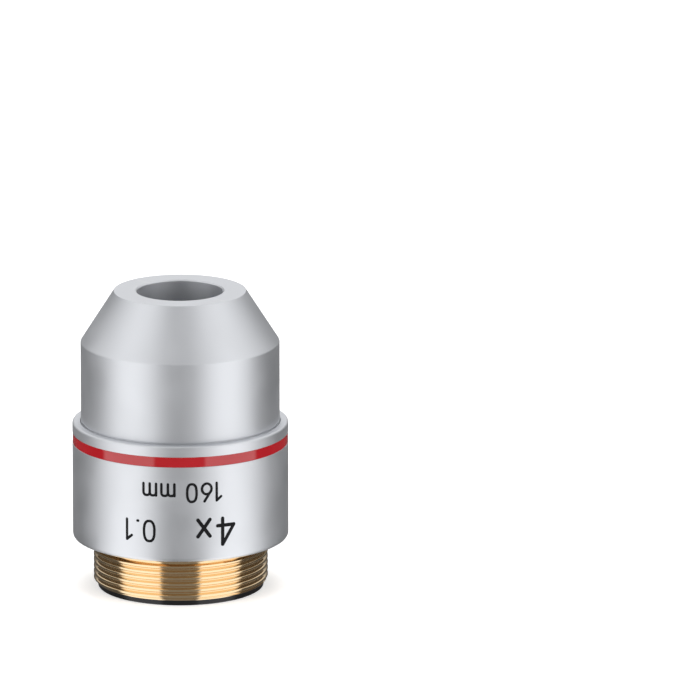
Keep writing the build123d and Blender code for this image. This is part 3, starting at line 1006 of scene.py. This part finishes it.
def bow(x: float, y: float, wide: float, tall: float, start: float, end: float,
        square: float = 1.0) -> Stroke:
    """A curved stroke about (x, y).

    The point at angle a is x + wide c |c|^(q-1), y + tall s |s|^(q-1), where c and s are the cosine and
    sine of a and q is `square`: 1 gives an ellipse, and less squares it off.

    Args:
        x: centre.
        y: centre.
        wide: half width.
        tall: half height.
        start: first angle in degrees.
        end: last angle in degrees.
        square: the power q.

    Returns:
        Array (points, 2).
    """
    angle = np.radians(np.linspace(start, end, BOW_POINTS))
    cosine, sine = np.cos(angle), np.sin(angle)
    across = x + wide * np.sign(cosine) * np.abs(cosine) ** square
    return np.stack([across, y + tall * np.sign(sine) * np.abs(sine) ** square], axis=1)


# Single-line letters one unit tall: width, then strokes
LETTERS = {
    "4": (0.66, [line(0.46, 1, 0, 0.27), line(0, 0.27, 0.66, 0.27), line(0.46, 1, 0.46, 0)]),
    "x": (0.46, [line(0, 0.64, 0.46, 0), line(0.46, 0.64, 0, 0)]),
    "0": (0.52, [bow(0.26, 0.5, 0.26, 0.5, 0, 360, 0.8)]),
    ".": (0.04, [line(0, 0.03, 0.04, 0.03)]),
    "1": (0.26, [line(0, 0.78, 0.26, 1), line(0.26, 1, 0.26, 0)]),
    "6": (0.54, [bow(0.27, 0.3, 0.27, 0.3, 0, 360), line(0.4, 1, 0.04, 0.44)]),
    "m": (0.72, [
        line(0, 0.66, 0, 0),
        bow(0.18, 0.46, 0.18, 0.2, 180, 0, 0.8), line(0.36, 0.46, 0.36, 0),
        bow(0.54, 0.46, 0.18, 0.2, 180, 0, 0.8), line(0.72, 0.46, 0.72, 0),
    ]),
    " ": (0.1, []),
}


@dataclass
class FigureLine:
    """One line of black figures, upside down here because the objective hangs nose down in use."""

    name: str
    text: str
    size: float          # height of a figure
    base: float          # height above the shoulder of the line that the figures stand on
    azimuth: float       # middle of the line, in degrees towards +X from the front
    stroke: float        # width of a stroke
    gap: float = 0.3     # space between figures, as a share of their size
    surface: float = Sleeve.radius
    sink: float = 0.02
    rise: float = 0.012

    def strokes(self) -> list[Stroke]:
        """Every stroke of the line, in millimetres from the middle of its base."""
        found: list[Stroke] = []
        cursor = 0.0
        for letter in self.text:
            width, shapes = LETTERS[letter]
            found += [(shape + [cursor, 0]) * self.size for shape in shapes]
            cursor += width + self.gap
        middle = (cursor - self.gap) * self.size / 2
        return [shape - [middle, 0] for shape in found]

    def ribbon(self, path: Stroke) -> tuple[np.ndarray, np.ndarray]:
        """A flat ribbon with round ends along a path, wrapped on the sleeve.

        Past each end the path runs on by s, up to half the stroke's width w, and the ribbon narrows
        there to sqrt(w^2 / 4 - s^2) on each side. A point u along the surface and v up from the base
        then goes to the angle u / R and the height base - v, both reversed, which turns it upside down.

        Args:
            path: array (points, 2) in millimetres.

        Returns:
            Vertices (count, 3) and quads of a closed shell.
        """
        half = self.stroke / 2
        past = half * np.sin(np.linspace(0, math.pi / 2, 6))[1:, None]
        ends = np.array([path[0] - path[1], path[-1] - path[-2]])
        ends /= np.linalg.norm(ends, axis=1, keepdims=True)
        points = np.concatenate([path[0] + ends[0] * past[::-1], path, path[-1] + ends[1] * past])
        cap = np.sqrt(np.maximum(half * half - past[:, 0] ** 2, 1e-10))
        width = np.concatenate([cap[::-1], np.full(len(path), half), cap])
        along = np.gradient(points, axis=0)
        along /= np.linalg.norm(along, axis=1, keepdims=True)
        side = np.stack([-along[:, 1], along[:, 0]], axis=1) * width[:, None]
        flat = np.stack([points - side, points + side, points + side, points - side], axis=1)
        depth = np.array([self.rise, self.rise, -self.sink, -self.sink])
        radius = self.surface + depth[None, :]
        angle = math.radians(self.azimuth) - flat[..., 0] / self.surface
        height = self.base - flat[..., 1]
        vertices = np.stack([radius * np.sin(angle), -radius * np.cos(angle), height], axis=-1)
        index = np.arange(len(points) * 4).reshape(-1, 4)
        index = np.concatenate([index, index[:, :1]], axis=1)
        return vertices.reshape(-1, 3), grid_faces(index)

    def dress(self, finishes: Finishes) -> None:
        """Join the ribbons of all strokes into one piece and paint it."""
        shells = [self.ribbon(path) for path in self.strokes()]
        counts = np.cumsum([0] + [len(vertices) for vertices, _ in shells])
        vertices = np.concatenate([vertices for vertices, _ in shells])
        faces = np.concatenate([faces + count for (_, faces), count in zip(shells, counts)])
        settle(make_piece(self.name, vertices, faces), Slot.PAINT, finishes.paint)


FIGURES = (
    FigureLine("figure_power", "4x", size=3.1, base=5.23, azimuth=20.0, stroke=0.42),
    FigureLine("figure_aperture", "0.1", size=2.4, base=5.05, azimuth=-21.0, stroke=0.31),
    FigureLine("figure_tube", "160 mm", size=2.1, base=9.53, azimuth=1.8, stroke=0.3),
)


# Studio

@dataclass
class Studio:
    """White table, soft lamps and what the metal mirrors: two tall light panels beside the camera.

    Angles are degrees. Azimuth is counted from the camera's side of the object, the same both ways.
    A border's softness is the sine of half its width. The table lies 0.01 mm below the black ring.
    """

    floor_height: float = -5.76
    floor_radius: float = 2500.0
    floor_white: float = 0.8
    floor_glow: float = 0.45     # for the camera alone
    panel_start: float = 27.0
    panel_start_soft: float = 0.035
    panel_end: float = 88.0
    panel_end_soft: float = 0.05
    panel_light: float = 1.35
    panel_above: float = 0.8
    gap_light: float = 0.23
    gap_above: float = 0.27
    shade_light: float = 0.1
    side_sky: float = 0.14
    high_sky: float = 0.95
    back_sky: float = 1.25
    back_start: float = 167.0
    back_soft: float = 0.12
    ambient: float = 0.55
    turned_radius: float = 10.5

    def reflections(self) -> bpy.types.NodeTree:
        """Brightness of the surroundings as a mirror surface sees them.

        An azimuth border at angle A is the sign of |x| cos A + y sin A, because the camera looks along
        +Y. On the table the border is moved by R sin(A/2), where a ray that leaves a cylinder of
        radius R at half the azimuth meets the table. Heights are slopes, the tangent of the angle above
        the horizon. Low down, the gap in front and the space past the panels are dim. Higher up the
        gap grows a little lighter, the panels fade, and the space past them grows bright, most of all
        right behind the object.

        Returns:
            The node group, with Vector and Radius as inputs and Light as output.
        """
        tree, sheet, source = new_group(
            "Studio Reflections",
            {"Vector": ("NodeSocketVector", None), "Radius": ("NodeSocketFloat", 0.0)},
            ["Light"],
        )
        split = sheet.add("ShaderNodeSeparateXYZ", {0: source.outputs["Vector"]})
        x, y, z = split.outputs
        across = sheet.math("MULTIPLY", x, x)
        level = sheet.math("SQRT", sheet.math("MULTIPLY_ADD", y, y, across))
        level = sheet.math("MAXIMUM", level, 1e-6)
        slope = sheet.math("DIVIDE", z, level)

        def beyond(border: float, soft: float) -> bpy.types.NodeSocket:
            """1 at azimuths beyond the border, 0 before it, with a soft edge."""
            angle = math.radians(border)
            away = sheet.math("MULTIPLY", sheet.math("ABSOLUTE", x), math.cos(angle))
            away = sheet.math("MULTIPLY_ADD", y, math.sin(angle), away)
            away = sheet.math("MULTIPLY_ADD", source.outputs["Radius"], math.sin(angle / 2), away)
            return sheet.ramp(sheet.math("DIVIDE", away, level), -soft, soft, shape="SMOOTHSTEP")

        gap = sheet.ramp(slope, 0.2, 1.3, self.gap_light, self.gap_above, "SMOOTHSTEP")
        sky = sheet.ramp(slope, 0.18, 0.5, self.side_sky, self.high_sky, "SMOOTHSTEP")
        back = sheet.ramp(slope, 0.18, 0.4, self.side_sky, self.back_sky, "SMOOTHSTEP")
        sky = sheet.ramp(beyond(self.back_start, self.back_soft), 0.0, 1.0, sky, back)
        shade = sheet.ramp(slope, 0.0, 0.22, self.shade_light, sky, "SMOOTHSTEP")
        panel = sheet.ramp(slope, 0.6, 1.6, self.panel_light, self.panel_above, "SMOOTHSTEP")
        past_gap = beyond(self.panel_start, self.panel_start_soft)
        past_panel = beyond(self.panel_end, self.panel_end_soft)
        light = sheet.math("MULTIPLY_ADD", past_gap, sheet.math("SUBTRACT", panel, gap), gap)
        light = sheet.math("MULTIPLY_ADD", past_panel, sheet.math("SUBTRACT", shade, light), light)
        sheet.add("NodeGroupOutput", {"Light": light})
        return tree

    def world(self, reflections: bpy.types.NodeTree) -> None:
        """White for the camera and through glass, light panels for mirrors, a plain level for all else.

        Args:
            reflections: the node group of that name.
        """
        world = bpy.data.worlds.new("studio")
        bpy.context.scene.world = world
        world.use_nodes = True
        world.node_tree.nodes.clear()
        world.cycles.sampling_method = "NONE"
        sheet = Sheet(world.node_tree)
        ray = sheet.add("ShaderNodeLightPath")
        way = sheet.add("ShaderNodeTexCoord").outputs["Generated"]
        mirrored = sheet.group(reflections, {"Vector": way})
        seen = sheet.math("MAXIMUM", ray.outputs["Is Camera Ray"], ray.outputs["Is Transmission Ray"])
        level = sheet.ramp(seen, 0.0, 1.0, self.ambient, 1.0)
        level = sheet.ramp(ray.outputs["Is Glossy Ray"], 0.0, 1.0, level, mirrored.outputs["Light"])
        background = sheet.add("ShaderNodeBackground", {"Color": (1, 1, 1, 1), "Strength": level})
        sheet.add("ShaderNodeOutputWorld", {"Surface": background.outputs[0]})

    def floor(self, reflections: bpy.types.NodeTree) -> None:
        """A round white table top: lit and shadowed for the camera, light panels for mirrors.

        Its rings lie at the rim's radius times the square of equal steps from 0 to 1.

        Args:
            reflections: the node group of that name.
        """
        columns, rings = 96, 24
        radius = self.floor_radius * np.linspace(0, 1, rings)[None, :] ** 2
        vertices = about_axis(radius, np.full((1, rings), self.floor_height), columns)
        index = np.arange(columns * rings).reshape(columns, rings)
        table = make_piece("table", vertices.reshape(-1, 3), grid_faces(np.concatenate([index, index[:1]])))
        material, sheet = new_material("white_table")
        material.cycles.emission_sampling = "NONE"
        ray = sheet.add("ShaderNodeLightPath")
        place = sheet.add("ShaderNodeTexCoord").outputs["Object"]
        mirrored = sheet.group(reflections, {"Vector": place, "Radius": self.turned_radius * MM})
        white = self.floor_white
        lit = sheet.add("ShaderNodeBsdfDiffuse", {"Color": (white, white, white, 1)})
        glow = sheet.math("MULTIPLY", ray.outputs["Is Camera Ray"], self.floor_glow)
        lift = sheet.add("ShaderNodeEmission", {"Strength": glow})
        plain = sheet.add("ShaderNodeAddShader", {0: lit.outputs[0], 1: lift.outputs[0]})
        mirror = sheet.add("ShaderNodeEmission", {"Strength": mirrored.outputs["Light"]})
        mixed = sheet.add("ShaderNodeMixShader", {
            0: ray.outputs["Is Glossy Ray"], 1: plain.outputs[0], 2: mirror.outputs[0]})
        sheet.add("ShaderNodeOutputMaterial", {"Surface": mixed.outputs[0]})
        table.data.materials.append(material)

    @staticmethod
    def lamp(name: str, place: Point, size: float, power: float) -> None:
        """Add a square soft lamp that faces the object and isn't mirrored in it.

        Args:
            name: the lamp's name.
            place: its place, in metres.
            size: its side, in metres.
            power: its power, in watts.
        """
        light = bpy.data.lights.new(name, "AREA")
        light.shape, light.size, light.energy = "SQUARE", size, power
        lamp = bpy.data.objects.new(name, light)
        bpy.context.scene.collection.objects.link(lamp)
        lamp.location = place
        lamp.rotation_euler = (-Vector(place)).to_track_quat("-Z", "Y").to_euler()
        lamp.visible_glossy = False

    def build(self) -> None:
        """Make the studio."""
        reflections = self.reflections()
        self.world(reflections)
        self.floor(reflections)
        self.lamp("left_panel", (-0.62, -0.42, 0.35), 0.5, 2.6)
        self.lamp("right_panel", (0.62, -0.42, 0.35), 0.5, 2.6)
        self.lamp("top_panel", (0.0, 0.1, 0.9), 0.6, 4.0)


@dataclass
class PhotoCamera:
    """The photograph's viewpoint, fitted to the ellipses of the front hole, the seam and the band."""

    lens: float = 621.0
    distance: float = 1400.0
    elevation: float = 14.15      # degrees above the horizon
    centre: Point = (19.7, 0.0, 22.35)   # what lies in the middle of the picture
    sensor: float = 36.0
    far_end: float = 20000.0      # what lies further away isn't drawn

    def build(self) -> None:
        """Make the camera and select it."""
        data = bpy.data.cameras.new("photo_camera")
        data.lens, data.sensor_width, data.clip_end = self.lens, self.sensor, self.far_end * MM
        camera = bpy.data.objects.new("photo_camera", data)
        bpy.context.scene.collection.objects.link(camera)
        lift = math.radians(self.elevation)
        away = Vector((0.0, -math.cos(lift), math.sin(lift)))
        camera.location = (Vector(self.centre) + away * self.distance) * MM
        camera.rotation_euler = away.to_track_quat("Z", "Y").to_euler()
        bpy.context.scene.camera = camera


def main() -> None:
    """Build the objective, the studio and the camera."""
    logging.basicConfig(level=logging.INFO, format="%(message)s")
    bpy.context.scene.view_settings.view_transform = "Standard"
    finishes = Finishes()
    parts = ThreadedMount(MountingThread()), Sleeve(), NoseCap(), RearStopRing(), LensStack()
    for assembly in (*parts, *FIGURES):
        assembly.dress(finishes)
    Studio().build()
    PhotoCamera().build()


if __name__ == "__main__":
    main()
